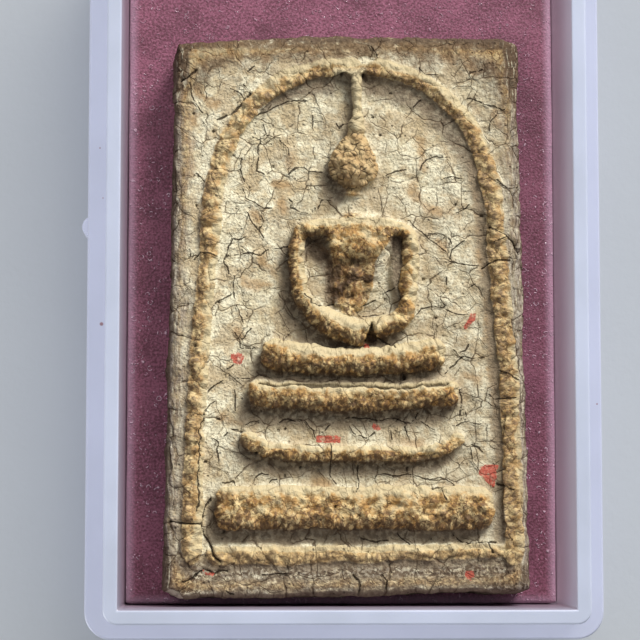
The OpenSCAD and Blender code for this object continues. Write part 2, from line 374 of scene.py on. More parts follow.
hairCracks = [
    [(190, 83), (192, 96), (201, 112)],
    [(247, 72), (254, 65)],
    [(230, 88), (240, 94), (244, 99), (240, 106)],
    [(243, 85), (251, 93), (246, 98)],
    [(258, 115), (270, 110), (278, 104), (288, 100), (307, 101)],
    [(252, 137), (260, 141), (258, 148), (258, 170), (265, 174)],
    [(262, 136), (268, 135.5), (279, 137)],
    [(264, 124), (265, 131), (267, 135)],
    [(279, 140), (288, 147), (289, 156)],
    [(288, 173), (295, 167), (303, 166.5), (308, 171), (322, 172)],
    [(290, 198), (293, 202), (291, 206)],
    [(292, 207), (300, 210), (308, 212)],
    [(318, 208), (322, 200), (330, 200)],
    [(242, 158), (239, 168), (244, 180)],
    [(242, 188), (245, 198), (254, 202), (262, 207), (273, 208)],
    [(246, 212), (250, 219), (258, 230), (265, 238)],
    [(261, 214), (264, 219), (260, 228)],
    [(230, 232), (233, 238), (228, 250), (223, 260)],
    [(233, 238), (242, 240), (247, 237)],
    [(226, 255), (236, 254), (250, 253), (260, 256), (270, 249), (288, 246)],
    [(223, 262), (227, 267), (228, 275)],
    [(234, 276), (233, 290), (234, 298), (239, 310), (243, 322)],
    [(212, 308), (219, 300), (230, 295)],
    [(182, 257), (190, 256), (191, 252)],
    [(196, 173), (202, 178), (206, 182)],
    [(194, 260), (200, 252), (210, 253), (216, 256)],
    [(336, 123), (339, 128), (344, 124)],
    [(313, 116), (312, 128)],
    [(385, 176), (390, 173.5), (406, 169)],
    [(420, 170), (422, 164), (425, 160), (437, 156), (450, 157)],
    [(443, 178), (454, 176), (462, 178)],
    [(456, 212), (464, 210), (470, 204)],
    [(408, 219), (418, 228), (429, 237)],
    [(429, 233), (442, 233.5), (448, 238), (452, 244)],
    [(430, 238), (440, 248), (446, 252)],
    [(450, 258), (452, 250), (458, 246), (466, 240)],
    [(450, 262), (460, 263), (469, 266), (478, 265)],
    [(494, 241), (500, 238), (505, 235)],
    [(496, 180), (500, 184), (508, 189), (519, 187)],
    [(466, 98), (471, 97), (480, 102), (488, 105.5), (504, 108)],
    [(490, 130), (491, 120), (496, 114)],
    [(468, 78), (469, 72), (482, 70)],
    [(412, 107), (420, 100)],
    [(420, 68), (428, 75), (438, 74)],
    [(440, 296), (448, 286), (446, 276)],
    [(440, 298), (448, 310), (458, 315), (468, 314)],
    [(469, 287), (476, 283)],
    [(417, 314), (422, 308), (434, 306), (446, 309)],
    [(360, 305), (367, 304), (375, 301)],
    [(384, 294), (396, 289)],
    [(362, 316), (372, 315), (384, 315)],
    [(369, 44), (376, 54), (378, 59)],
    [(305, 295), (309, 300), (313, 304)],
    [(234, 332), (239, 341), (240, 348)],
    [(251, 327), (245, 335), (240, 341)],
    [(234, 365), (227, 370)],
    [(239, 377), (241, 378), (251, 378)],
    [(242, 349), (255, 348)],
    [(208, 393), (215, 384), (223, 380)],
    [(203, 414), (207, 406), (215, 401)],
    [(203, 418), (200, 432), (198, 460), (198, 490), (196, 512)],
    [(234, 390), (235, 400), (235, 410)],
    [(247, 423), (253, 420), (258, 420)],
    [(279, 422), (283, 419), (291, 420), (295, 422)],
    [(305, 420), (314, 430), (316, 438)],
    [(325, 430), (327, 426), (333, 423)],
    [(225, 436), (231, 430), (239, 429)],
    [(215, 438), (219, 442), (217, 450), (218, 458), (219, 468)],
    [(247, 486), (253, 483), (255, 478), (261, 474), (268, 475)],
    [(223, 482), (233, 481), (235, 486)],
    [(269, 484), (271, 480), (277, 479)],
    [(330, 444), (331, 463), (330, 476), (335, 484)],
    [(261, 576), (277, 574), (289, 572)],
    [(226, 590), (234, 594)],
    [(445, 374), (449, 370), (454, 367), (459, 361)],
    [(459, 361), (465, 356), (475, 358), (485, 357)],
    [(454, 350), (460, 357)],
    [(461, 353), (466, 350), (469, 345)],
    [(499, 371), (509, 375), (517, 380)],
    [(490, 395), (495, 399), (515, 397)],
    [(457, 426), (462, 423), (466, 422), (482, 424)],
    [(466, 412), (467, 420)],
    [(471, 448), (473, 458), (477, 466), (480, 470)],
    [(435, 488), (445, 488), (456, 486)],
    [(376, 480), (378, 476), (385, 475), (397, 477), (407, 474), (421, 478), (431, 480), (439, 477),
     (447, 479), (456, 485)],
    [(406, 467), (407, 474)],
    [(358, 464), (359, 486), (355, 492)],
    [(345, 418), (357, 418), (369, 418), (381, 420), (395, 418), (403, 422), (411, 423)],
    [(415, 418), (419, 413)],
    [(349, 426), (354, 433), (365, 438), (370, 437), (375, 432)],
    [(405, 426), (407, 433), (409, 440)],
    [(391, 432), (393, 440)],
    [(421, 422), (431, 428), (435, 430)],
    [(460, 390), (462, 395), (461, 404), (460, 416)],
    [(441, 492), (445, 500)],
    [(361, 538), (371, 541), (389, 541)],
    [(398, 533), (405, 540), (411, 546)],
    [(454, 535), (463, 543), (475, 544), (497, 541)],
    [(490, 544), (493, 552)],
    [(381, 574), (387, 582), (386, 590)],
]
creases = [
    [(260, 383), (271, 384.5), (289, 385.8), (303, 385), (317, 386), (345, 387.3), (363, 387.8),
     (385, 388.4), (405, 387), (425, 385), (447, 383)],
]
stains = [
    [(290, 158), (291, 165)], [(277, 182), (287, 184)], [(282, 202), (285, 208)],
    [(252, 212), (259, 218)], [(243, 280), (252, 284), (266, 284)], [(262, 262), (270, 270)],
    [(422, 138), (422, 152), (423, 166)], [(424, 206), (438, 210)], [(450, 212), (455, 216)],
    [(439, 240), (444, 250)], [(414, 186), (418, 196)], [(192, 106), (194, 122)],
    [(184, 182), (184, 192)], [(188, 140), (190, 172)], [(196, 58), (206, 66)],
    [(204, 48), (236, 50)], [(236, 54), (240, 62)], [(256, 50), (268, 60)],
    [(280, 46), (330, 50)], [(440, 50), (452, 60)], [(466, 58), (472, 72)],
    [(496, 62), (502, 76)], [(494, 112), (500, 124)], [(222, 418), (243, 422)],
    [(317, 482), (327, 484)], [(468, 376), (478, 380)], [(407, 442), (420, 444)],
    [(512, 566), (520, 578)], [(170, 570), (174, 585)], [(236, 330), (240, 338)],
    [(176, 50), (190, 46)], [(380, 46), (420, 50)], [(196, 90), (214, 104)],
    [(372, 20), (380, 22)], [(472, 160), (479, 215), (486, 270)],
    [(488, 300), (492, 350), (496, 400), (500, 450), (502, 478)],
]
pits = [
    (343, 76), (363, 77), (373, 116), (403, 377), (219, 302), (278, 430), (285, 429), (242, 431),
    (433, 488), (273, 165), (197, 205), (214, 131), (380, 134), (391, 92), (285, 476), (256, 453),
    (206, 462), (218, 419), (335, 507), (193, 113), (195, 345), (424, 278), (436, 318), (456, 203),
    (481, 216), (385, 300), (300, 467), (248, 97), (224, 532),
]

lineMarks = {
    "wideCracks": wideCracks, "hairCracks": hairCracks, "creases": creases, "stains": stains,
}
areaMarks = {
    "redFlecks": [
        [(231, 354), (239, 352), (245, 357), (240, 364), (232, 362)],
        [(470, 312), (476, 313), (474, 320), (466, 329), (463, 326), (468, 319)],
        [(317, 435), (330, 434), (341, 437), (339, 443), (316, 441)],
        [(481, 466), (488, 464), (499, 465), (497, 476), (494, 486), (487, 481), (480, 474)],
        [(374, 423), (379, 424), (381, 429), (377, 431), (373, 427)],
        [(203, 571), (208, 574), (214, 573), (211, 577), (205, 575)],
        [(466, 571), (474, 571), (476, 576), (472, 582), (467, 579)],
        [(364, 344), (368, 344), (368, 350), (364, 350)],
    ],
    "chips": [
        [(358, 56), (366, 55), (375, 58), (373, 62), (362, 62)],
        [(166, 592), (171, 589), (178, 592), (183, 598), (176, 601), (168, 599)],
    ],
    "holes": [
        [(311, 241), (327, 241), (327, 256), (318, 260), (312, 255)],
        [(391, 240), (404, 240), (404, 249), (394, 250)],
    ],
    "trunk": [[(331, 262), (372, 262), (368, 280), (360, 296), (334, 296)]],
    "chest": [[(334, 224), (388, 224), (386, 244), (336, 246)]],
    "sunk": [
        [(307, 240), (329, 242), (327, 262), (330, 290), (333, 305), (316, 305), (307, 292),
         (305, 250)],
        [(338, 197), (366, 197), (364, 212), (342, 212)],
    ],
    "shallow": [
        [(392, 241), (401, 240), (401, 298), (392, 308), (362, 311), (368, 301), (373, 286),
         (375, 262), (386, 246)],
    ],
    "slot": [[(394, 236), (406, 236), (406, 296), (398, 300), (394, 280)]],
    "gaps": [[(372, 324), (375, 333), (377, 341), (365, 342), (369, 333)]],
    "figure": [
        [(343, 74), (370, 74), (384, 130), (388, 196), (440, 212), (440, 318), (462, 335),
         (476, 380), (478, 478), (503, 482), (503, 532), (208, 532), (208, 482), (226, 478),
         (238, 380), (252, 330), (278, 318), (276, 212), (320, 196), (320, 130)],
    ],
}


def guideMesh(name, points, edges, faces):
    # A scratch shape, in mm on the plane z = 0: the tablet's surface measures how far it is from it
    mesh = bpy.data.meshes.new(name)
    flat = []
    for pixel in points:
        spot = onPlane(pixel, tabletLook["borderHeight"])
        flat.append((spot.x, spot.y, 0))
    mesh.from_pydata(flat, edges, faces)
    guide = bpy.data.objects.new(name, mesh)
    bpy.context.scene.collection.objects.link(guide)
    return guide


def lineGuide(name, lines):
    points = []
    edges = []
    for line in lines:
        first = len(points)
        points += line
        edges += [(i, i + 1) for i in range(first, len(points) - 1)]
    return guideMesh(name, points, edges, [])


def areaGuide(name, outlines):
    points = []
    faces = []
    for outline in outlines:
        first = len(points)
        points += outline
        faces.append(tuple(range(first, len(points))))
    return guideMesh(name, points, [], faces)


def raggedPlace(net, flat):
    # The listed cracks are drawn straight, and this makes them wander
    return net.bent(net.bent(flat, 0.8, 0.11), 0.25, 0.035)


def inFromEdges(net, x, y):
    # How far in from the slab's top, its foot and its nearer side a place lies
    look = tabletLook
    topIn = look["top"] - y
    sideIn = look["halfWide"] + topIn * look["taper"] - net.maths("ABSOLUTE", x - look["middle"])
    return topIn, y - look["foot"], sideIn


def crackPattern(net, rest):
    # The plaster's own pattern over its unrolled surface: the mesh and the paint both use it
    plateSize = tabletLook["plateSize"]
    fineSize = tabletLook["fineSize"]
    beadSize = tabletLook["beadSize"]
    bent = net.bent(net.bent(rest, 1.3, 0.32), 0.4, 0.07)
    beadAt = net.bent(rest, 0.35, 0.1)
    head = onPlane(tabletLook["head"], tabletLook["borderHeight"])
    flatRest = net.vector("MULTIPLY", rest, (1, 1, 0))
    headAway = net.vector("DISTANCE", flatRest, (head.x, head.y, 0), 1)
    return {
        "plate": net.cells(bent, plateSize, "DISTANCE_TO_EDGE"),
        "plateTone": net.cellTone(bent, plateSize),
        "plateWide": net.blotches(rest, 1.6, 2, 11, 0.38, 0.56),
        "fine": net.cells(bent, fineSize, "DISTANCE_TO_EDGE", 5),
        "fineTone": net.cellTone(bent, fineSize, 5),
        "fineWide": net.blotches(rest, 1.8, 2, 23, 0.48, 0.64),
        "bead": net.cells(beadAt, beadSize),
        "beadTone": net.cellTone(beadAt, beadSize),
        "beadEdge": net.cells(beadAt, beadSize, "DISTANCE_TO_EDGE"),
        "onHead": net.ease(headAway, 2.35, 1.85),
    }


def sculptTablet(net, solid):
    look = tabletLook
    ease = net.ease
    place = net.add("GeometryNodeInputPosition")
    normal = net.add("GeometryNodeInputNormal")
    x, y, z = net.parts(place)
    normalX, normalY = net.parts(normal)[:2]
    below = net.most(look["fieldHeight"] - 0.4 - z, 0.0)
    # The walls are unrolled outwards
    rest = net.joined(x + normalX * below, y + normalY * below, z)
    slope = net.vector("DOT_PRODUCT", normal, look["lightSide"], 1)
    flatPlace = net.joined(x, y)
    raggedSpot = raggedPlace(net, flatPlace)

    def blurred(value, times):
        values = {"Value": value, "Iterations": times}
        return net.add("GeometryNodeBlurAttribute", {"data_type": "FLOAT"}, values)

    def nearest(guide, element, out="Distance"):
        target = {"Object": bpy.data.objects[guide]}
        values = {0: net.add("GeometryNodeObjectInfo", None, target, "Geometry")}
        values["Sample Position"] = raggedSpot if guide in look["curls"] else flatPlace
        return net.add("GeometryNodeProximity", {"target_element": element}, values, out)

    away = {name: nearest(name, "EDGES") for name in lineMarks}
    away.update({name: nearest(name, "FACES") for name in areaMarks})
    away["pits"] = nearest("pits", "POINTS")
    onFigure = ease(away["figure"], 0.5, 0.0)
    # A ray towards the key lamp: where it meets the relief, the point is later painted as in shadow
    ray = {
        "Target Geometry": solid,
        "Source Position": net.vector("ADD", place, net.scaled(normal, 0.06)),
        "Ray Direction": look["castShadowWay"],
        "Ray Length": look["castShadowReach"],
    }
    hit = net.add("GeometryNodeRaycast", None, ray, "Is Hit")
    hitAway = net.add("GeometryNodeRaycast", None, ray, "Hit Distance")
    stored = {
        "rest": rest,
        "wideNear": nearest("wideCracks", "EDGES", "Position"),
        "hairNear": nearest("hairCracks", "EDGES", "Position"),
        "slope": slope,
        "hollow": blurred(z, 30) - z,
        "basin": blurred(z, 160) - z,
        "lee": blurred(hit * (1 - hitAway * (1 / look["castShadowReach"])), 10),
        "cleared": net.least(away["sunk"], away["shallow"]),
        "onFigure": onFigure,
    }
    for name in ("creases", "gaps", "holes", "trunk", "stains", "redFlecks", "chips", "pits"):
        stored[name] = away[name]
    for name, value in stored.items():
        kind = "FLOAT_VECTOR" if name in ("rest", "wideNear", "hairNear") else "FLOAT"
        solid = net.add("GeometryNodeStoreNamedAttribute", {"data_type": kind, "domain": "POINT"},
                        {"Geometry": solid, "Name": name, "Value": value})

    # Waves, plates and the grooves between them
    pattern = crackPattern(net, rest)
    onHead = pattern["onHead"]
    rise = z - look["fieldHeight"]
    onFace = ease(z, look["fieldHeight"] - 1.2, look["fieldHeight"] - 0.3)
    height = (net.noise(rest, 5.5, 2, 31) - 0.5) * net.blend(onFace, *look["broadSwell"])
    for size, moved, swell in look["unevenness"]:
        height = height + (net.noise(rest, size, 2, moved) - 0.5) * swell
    cracked = pattern["plateWide"] * (1 - onHead)
    groove = ease(pattern["plate"], 0.16, 0.03) * cracked
    lifted = ease(pattern["plate"], 0.5, 0.15) * cracked
    height = height + (pattern["plateTone"] - 0.5) * 0.07 + lifted * 0.05 - groove * 0.12
    fineGroove = ease(pattern["fine"], 0.13, 0.02) * pattern["fineWide"]
    height = height + (pattern["fineTone"] - 0.5) * 0.05 - fineGroove * 0.06

    # Granules on the raised forms, most on the slopes that aren't worn
    bead = (ease(pattern["bead"], 0.26, 0.02) - 0.4) * net.blend(onHead, 0.1, 0.13)
    clump = (net.blotches(rest, 0.9, 1, 43, 0.35, 0.65) - 0.5) * 0.16
    nugget = net.cells(net.bent(rest, 0.5, 0.15), look["nuggetSize"], shift=45)
    nugget = (ease(nugget, 0.496, 0.08) - 0.5) * net.blend(onHead, 0.13, 0.0)
    beaded = ease(rise, 0.3, 0.6) * ease(slope, 0.85, 0.45)
    height = height + (bead + clump + nugget) * beaded
    height = height + ease(rise, 0.15, 0.5) * look["swell"]

    # The marks: plates curl up along the cracks, and all of them are cut in
    for name, (far, near, size) in look["curls"].items():
        height = height + ease(away[name], far, near) * size * onFace
    for name, (far, near, size) in look["dents"].items():
        height = height - ease(away[name], far, near) * size

    # The slab's corners are sharper than they are in the CAD
    topIn, footIn, sideIn = inFromEdges(net, x, y)
    endIn = net.least(topIn, footIn)
    corner = ease(net.most(sideIn, endIn), look["cornerBand"], 0.5) * look["cornerPush"]
    squareX = sideIn * corner * net.maths("SIGN", x - look["middle"])
    squareY = endIn * corner * net.maths("SIGN", y)
    sway = net.vector("SUBTRACT", net.noise(rest, 2.4, 2, 47, 1), (0.5, 0.5, 0.5))
    sway = net.vector("MULTIPLY", sway, (look["sway"], look["sway"], 0))

    # Forms that are filled up, worn down or pressed in, by their height over the sunk field
    chest = ease(away["chest"], 0.8, 0.0) * net.most(look["chestHeight"] - z, 0.0) * 0.95
    slot = ease(away["slot"], 0.5, 0.0) * net.most(look["slotHeight"] - z, 0.0)
    stands = net.most(rise, 0.0)
    worn = (1 - onFigure) * ease(x, 6.5, 10.0, look["worn"], look["wornRight"])
    lowered = stands * net.most(worn, ease(away["trunk"], 1.3, -0.9, 0, 1.1))
    pressed = net.most(ease(away["sunk"], 0.2, 0.0), ease(away["gaps"], 0.15, 0.0))
    shallow = ease(away["shallow"], 0.45, 0.0, 0, look["shallow"])
    pressed = stands * net.most(pressed * look["pressed"], shallow)
    lift = (net.most(chest, slot) - net.most(lowered, pressed)) * onFace

    still = ease(z, look["underside"] + 0.05, look["underside"] + 0.5)
    aside = net.vector("ADD", net.scaled(sway, onFace), net.joined(squareX, squareY))
    shift = net.scaled(net.vector("ADD", net.scaled(normal, height), aside), still)
    shift = net.vector("ADD", shift, net.joined(0.0, 0.0, lift))
    return net.add("GeometryNodeSetPosition", None, {"Geometry": solid, "Offset": shift})


def flatUnderside(piece, height):
    # The fine faces underneath become one face
    for polygon in piece.data.polygons:
        polygon.select = polygon.center.z < height and polygon.normal.z < -0.95
    edited(piece, "FACE", None, bpy.ops.mesh.dissolve_faces)


guides = [lineGuide(name, lines) for name, lines in lineMarks.items()]
guides += [areaGuide(name, outlines) for name, outlines in areaMarks.items()]
guides.append(guideMesh("pits", pits, [], []))
tablet = copyOfNode("amulet_tablet", "amuletTablet")
applyModifier(tablet, "REMESH", mode="VOXEL", voxel_size=tabletLook["voxel"], use_smooth_shade=True)
applyModifier(tablet, "SMOOTH", factor=0.5, iterations=10)
applyNodes(tablet, "sculptTablet", sculptTablet)
flatUnderside(tablet, tabletLook["underside"] + 0.06)
for guide in guides:
    bpy.data.objects.remove(guide)
resized(tablet, mm)
print("tablet triangles", sum(len(face.vertices) - 2 for face in tablet.data.polygons))


def plasterFinish(net):
    look = tabletLook
    ease = net.ease

    def stored(name, out=2):
        # What the sculpting left on each point: a number from output 2, a vector from output 1
        return net.add("ShaderNodeAttribute", {"attribute_name": name}, None, out)

    rest = stored("rest", 1)
    slope = stored("slope")
    basin = stored("basin")
    lee = stored("lee")
    onFigure = stored("onFigure")
    x, y, z = net.parts(rest)
    rise = z - look["fieldHeight"]
    topIn, footIn, sideIn = inFromEdges(net, x, y)
    pattern = crackPattern(net, rest)
    onHead = pattern["onHead"]
    wander = net.noise(rest, 1.3, 3, 91) - 0.5
    flicker = net.noise(rest, 0.35, 3, 99) - 0.5
    roughAt = net.bent(rest, 0.5, 0.22)   # fine noise shows its square grid unless it is bent
    fine = net.noise(roughAt, 0.28, 4, 103)
    mottled = net.noise(rest, 0.42, 4, 75)
    upright = net.noise(net.vector("MULTIPLY", rest, (1, 0.25, 1)), 0.26, 4, 95)
    level = net.noise(net.vector("MULTIPLY", rest, (0.5, 1, 1)), 0.35, 4, 97)
    streak = net.noise(net.vector("MULTIPLY", rest, (1, 0.2, 1)), 0.16, 3, 87)

    # Ground: cream plates, each a little different, mottled with tan and specked with grey
    ground = Coats(net, look, "cream")
    tone = pattern["plateTone"] * 0.15 + pattern["fineTone"] * 0.15
    ground.lay("chalk", ease(tone + net.noise(rest, 0.8, 4, 51) * 0.7, 0.32, 0.62))
    ground.lay("tan", net.blotches(roughAt, 0.42, 4, 55, 0.5, 0.7) * 0.35)
    ground.lay("tan", net.blotches(rest, 2.0, 5, 53, 0.47, 0.6) * 0.55)
    ground.lay("dust", net.blotches(roughAt, 0.15, 2, 57, 0.52, 0.68) * 0.55)
    ground.lay("dust", ease(x, 5.0, 9.0) * 0.15)   # darker towards the right
    spot = ease(stored("stains") + wander * 0.9 + flicker * 0.4, 0.55, 0.05)
    ground.lay("ochre", spot * 0.6)

    # The slab's rim: brown at the top, streaked grey at the sides, dull at the foot
    topStain = ease(topIn + wander * 3.2, 3.4, 0.6)
    ground.lay("rust", topStain * ease(level, 0.22, 0.46) * 0.85)
    ground.lay("bark", topStain * ease(fine, 0.45, 0.6) * 0.5)
    sideStain = ease(sideIn + wander * 1.8, 2.1, 0.7)
    ground.lay("dust", sideStain * ease(upright, 0.36, 0.58) * 0.85)
    ground.lay("ash", sideStain * ease(upright, 0.62, 0.44) * 0.65)
    cornerStain = ease(sideIn + topIn * 0.7 + wander * 3.0, 6.0, 2.2)
    ground.lay("rust", cornerStain * ease(level, 0.2, 0.42) * 0.85)
    ground.lay("soot", cornerStain * ease(upright, 0.42, 0.58, 0.25, 0.9))
    ground.lay("bark", cornerStain * ease(fine, 0.42, 0.58) * 0.55)
    footStain = ease(footIn + wander * 0.8, 2.5, 1.7)
    ground.lay("dust", footStain * ease(level, 0.34, 0.56) * 0.8)
    ground.lay("soot", footStain * ease(fine, 0.48, 0.6) * 0.4)
    footDirt = ease(footIn + wander * 1.2, 0.7, 1.5)
    footDirt = footDirt + ease(sideIn + footIn + wander * 2.0, 4.6, 2.6)
    footDirt = net.least(footDirt, 1.0) * footStain
    ground.lay("soot", footDirt * ease(fine, 0.44, 0.54) * 0.85)
    ground.lay("ash", footDirt * ease(fine, 0.46, 0.38) * 0.4)
    ground.lay("soot", sideStain * ease(streak, 0.52, 0.62) * 0.6)
    ground.lay("chalk", sideStain * ease(streak, 0.42, 0.34) * 0.5)
    topBrink = ease(topIn + wander * 0.5, 0.75, 0.2)
    sideBrink = ease(sideIn + wander * 0.4, 0.6, 0.15)
    brink = ease(net.most(topBrink, sideBrink), 0, 1)
    ground.lay("soot", brink * ease(flicker, -0.2, 0.02) * 0.9)

    # Painted shadow on the side of the relief away from the key lamp, and grime with painted shade
    # in its hollows
    spire = ease(topIn, 7.5, 6.7) * ease(topIn, 2.0, 2.6)
    spire = spire * ease(net.maths("ABSOLUTE", x - look["spireAcross"]), 1.3, 0.9)
    shadowAndDirt = lee * (1 - spire * 0.6) * ease(x, 7.0, 9.5, 1.0, 0.6) + basin * 0.5
    shadowAndDirt = shadowAndDirt + wander * 0.35 + flicker * 0.35
    ground.lay("dust", onFigure * 0.2)
    ground.lay("dust", ease(shadowAndDirt, 0.05, 0.55) * 0.85)
    ground.lay("soot", ease(shadowAndDirt, 0.4, 0.8) * ease(mottled, 0.4, 0.6) * 0.6)

    # Where the forms are raised, and how far their slopes face the light
    proud = ease(basin * -1 + wander * 0.1, 0.06, 0.24) * ease(rise, 0.12, 0.35)
    brim = net.least(sideIn - ease(topIn, 5.0, 3.0, 0.0, 0.8), topIn - 0.3)
    raised = net.most(ease(rise + wander * 0.2, 0.34, 0.54), proud)
    raised = raised * ease(brim, 0.45, 0.8)
    raised = raised * (1 - ease(stored("cleared") + flicker * 0.1, 0.15, 0.0))
    lowRib = ease(footIn, 4.3, 3.7) * ease(footIn, 1.6, 2.2)
    turned = slope + wander * 0.5 + flicker * 0.35 + (net.noise(rest, 3.0, 2, 105) - 0.5) * 0.7
    turned = turned + lowRib * ease(footIn, 2.7, 3.1, -0.3, 0.3)
    # The right side counts as more turned from the light, so it is painted browner there: painted
    # shade
    turned = turned - ease(x, 7.0, 9.5) * 0.25

    # Raised forms: amber grains with brown between them; slopes towards the light are painted
    # paler, a painted highlight, and slopes turned from it browner and more grainy, partly painted
    # shade
    relief = Coats(net, look, "amber")
    grains = pattern["beadTone"] * 0.15 + net.noise(rest, 0.75, 4, 61) * 0.85
    relief.lay("honey", ease(grains, 0.4, 0.57))
    brownedInShade = net.blotches(rest, 1.1, 5, 63, 0.45, 0.54) * ease(turned, 0.4, 0.0, 0.3, 1.0)
    relief.lay("gold", brownedInShade * 0.6)
    shadedGrains = ease(turned, 0.25, -0.1, 0.15, 1.0) * (1 - onHead * 0.75)
    relief.lay("brown", shadedGrains * ease(fine + brownedInShade * 0.06, 0.53, 0.62) * 0.85)
    relief.lay("honey", shadedGrains * ease(fine, 0.42, 0.34) * 0.6)
    pale = ease(turned + (grains - 0.5) * 0.8, 0.0, 0.4) * (1 - onHead)
    relief.lay("butter", net.most(pale * 0.8, spire * 0.85))
    relief.lay("butter", (1 - onFigure) * 0.15)
    relief.lay("tan", onHead * 0.6)
    relief.lay("honey", lowRib * 0.25)
    ground.lay(relief.colour, raised * 0.92)

    # Dark grime between the grains and on the trunk; painted shade with some grime between the
    # grains on the slopes turned from the light, in the deep hollows, on those slopes and at the
    # foot of the forms
    grained = net.most(ease(turned, 0.2, -0.05), onHead)
    grained = grained * net.blotches(rest, 0.5, 3, 65, 0.38, 0.58)
    between = ease(pattern["beadEdge"] + flicker * 0.06, 0.07, 0.0) * grained
    ground.lay("umber", between * raised * net.blend(onHead, 0.5, 0.9))
    trunk = ease(stored("trunk") + flicker * 0.8, 0.7, 0.0)
    # The trunk's clots lean towards the left, away from the lamp: that lean is painted shade
    clotted = ease(net.noise(rest, 0.75, 4, 73) + (x - 0.2) * -0.04, 0.42, 0.56)
    ground.lay("brown", trunk * 0.45)
    ground.lay("umber", trunk * clotted * 0.85)
    # Painted shadow, with some grime, in and around the deep hollows under the shoulders
    nearHolesShadow = ease(stored("holes") + flicker * 0.6, 0.6, 0.1) * (1 - raised)
    ground.lay("soot", nearHolesShadow * 0.45)
    ground.lay("umber", ease(stored("holes") + flicker * 0.3, 0.25, -0.05) * 0.7)
    # Painted shade on the slopes turned from the light, partly brown stain
    shaded = ease(turned, -0.1, -0.45) * ease(rise, 0.03, 0.2) * (1 - spire * 0.6)
    shaded = shaded * (1 - onHead * 0.4) * net.blotches(rest, 0.32, 4, 67, 0.4, 0.54)
    ground.lay("bark", shaded * net.blend(onFigure, 0.4, 0.75))
    # Painted shadow at the foot of the forms on the side away from the lamp, with a broken line of
    # grime
    foot = ease(lee + stored("hollow") * 0.6 + flicker * 0.6, 0.6, 1.0)
    foot = foot * ease(slope, 0.25, 0.0) * onFigure * ease(mottled, 0.38, 0.58, 0.2, 1.0)
    ground.lay("umber", foot * ease(footIn, 4.2, 5.0, 0.2, 0.55))

    # Cracks: the listed ones over the plaster's own fainter net, all a little ragged
    ragged = raggedPlace(net, net.joined(x, y))
    width = net.blotches(rest, 0.6, 2, 69, 0.3, 0.7, 0.75, 1.2)
    hairAway = net.vector("DISTANCE", ragged, stored("hairNear", 1), 1)
    wideAway = net.vector("DISTANCE", ragged, stored("wideNear", 1), 1)
    plateLine = ease(pattern["plate"], 0.055, 0.015) * pattern["plateWide"]
    fineLine = ease(pattern["fine"], 0.045, 0.01) * pattern["fineWide"]
    fineLine = net.most(plateLine * (1 - onHead), fineLine * 0.8) * (1 - raised * 0.5)
    ground.lay("bark", fineLine * 0.7)
    pins = ease(net.cells(rest, look["pinSize"], shift=9), 0.1, 0.03)
    pins = pins * ease(net.cellTone(rest, look["pinSize"], 9, part=1), 0.7, 0.9)
    lines = pins * 0.6
    for away, half in ((hairAway, look["hairLine"]), (wideAway, look["wideLine"])):
        lines = net.most(lines, ease(away, width * half, width * (half * 0.4)))
    lines = net.most(lines, ease(stored("gaps") + flicker * 0.08, 0.08, 0.0))
    lines = net.most(lines, ease(stored("pits"), 0.15, 0.05))
    lines = net.most(lines, ease(stored("creases") + flicker * 0.08, 0.14, 0.04) * 0.95)
    ground.lay("umber", lines * 0.85)

    # Flakes of old red lacquer and bare chips
    fleck = ease(stored("redFlecks") + flicker * 0.14, 0.05, 0.0)
    ground.lay("red", fleck * net.blotches(rest, 0.3, 3, 71, 0.3, 0.5, 0.75, 0.95))
    ground.lay("chalk", ease(stored("chips"), 0.06, 0.0) * 0.6)

    # Fine grit, raised along the edges of the plates and cut in by every crack
    grit = net.noise(roughAt, 0.2, 2, 83) * 0.08 + net.noise(roughAt, 0.45, 2, 89) * 0.07
    grit = grit - net.cells(net.bent(rest, 0.2, 0.05), 0.24, shift=17) * 0.1875
    rim = ease(pattern["plate"], 0.3, 0.08) * pattern["plateWide"]
    rim = rim + ease(pattern["fine"], 0.2, 0.05) * pattern["fineWide"] * 0.6
    grit = grit + rim * 0.04 + ease(hairAway, 0.22, 0.06) * 0.05
    grit = grit - lines * 0.16 - fineLine * 0.08
    beads = ease(pattern["bead"], 0.05, 0.24) * raised
    grit = grit - beads * net.blend(onHead, 0.02, 0.1)
    return {
        "Base Color": ground.colour,
        "Roughness": net.blend(raised, 0.85, 0.6),
        "Specular IOR Level": 0.15,
        "Normal": net.bump(grit, 0.9),
    }


tablet.data.materials.clear()
tablet.data.materials.append(makeMaterial("plaster", plasterFinish))
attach(tablet, "root")
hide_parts("amulet_tablet")

print("foam pad")

padLook = {
    "voxel": 0.24,
    "edgeRound": 0.08,
    "spread": 0.05,              # mm that the soft foam fills of the gap to the walls
    "lumps": (0.6, 0.06),        # width and height
    "swell": (7, 0.1),
    "grain": 0.17,
    "arcCell": 0.62,             # each cell may hold one arc of glitter
    "dotCell": 0.34,
    "dark": srgb(92, 40, 57),
    "bright": srgb(144, 82, 104),
    "glint": srgb(236, 200, 216),
    "border": srgb(196, 160, 182),
}


def roundBlock(name, low, high, radius):
    # A block with rounded upright edges, in mm
    bpy.ops.object.select_all(action="DESELECT")
    middle = [(a + b) / 2 for a, b in zip(low, high)]
    spans = [b - a for a, b in zip(low, high)]
    bpy.ops.mesh.primitive_cube_add(size=1, location=middle, scale=spans)
    block = bpy.context.object
    block.name = block.data.name = name
    bpy.ops.object.transform_apply(location=True, rotation=True, scale=True)
    if radius:
        edited(block, "EDGE", "DESELECT")
        for edge in block.data.edges:
            a, b = (block.data.vertices[i].co for i in edge.vertices)
            edge.select = abs(a.z - b.z) > 0.1
        edited(block, "EDGE", None, bpy.ops.mesh.bevel, offset=radius, segments=8)
    return block


def inMm(corner):
    return [c / mm for c in corner]


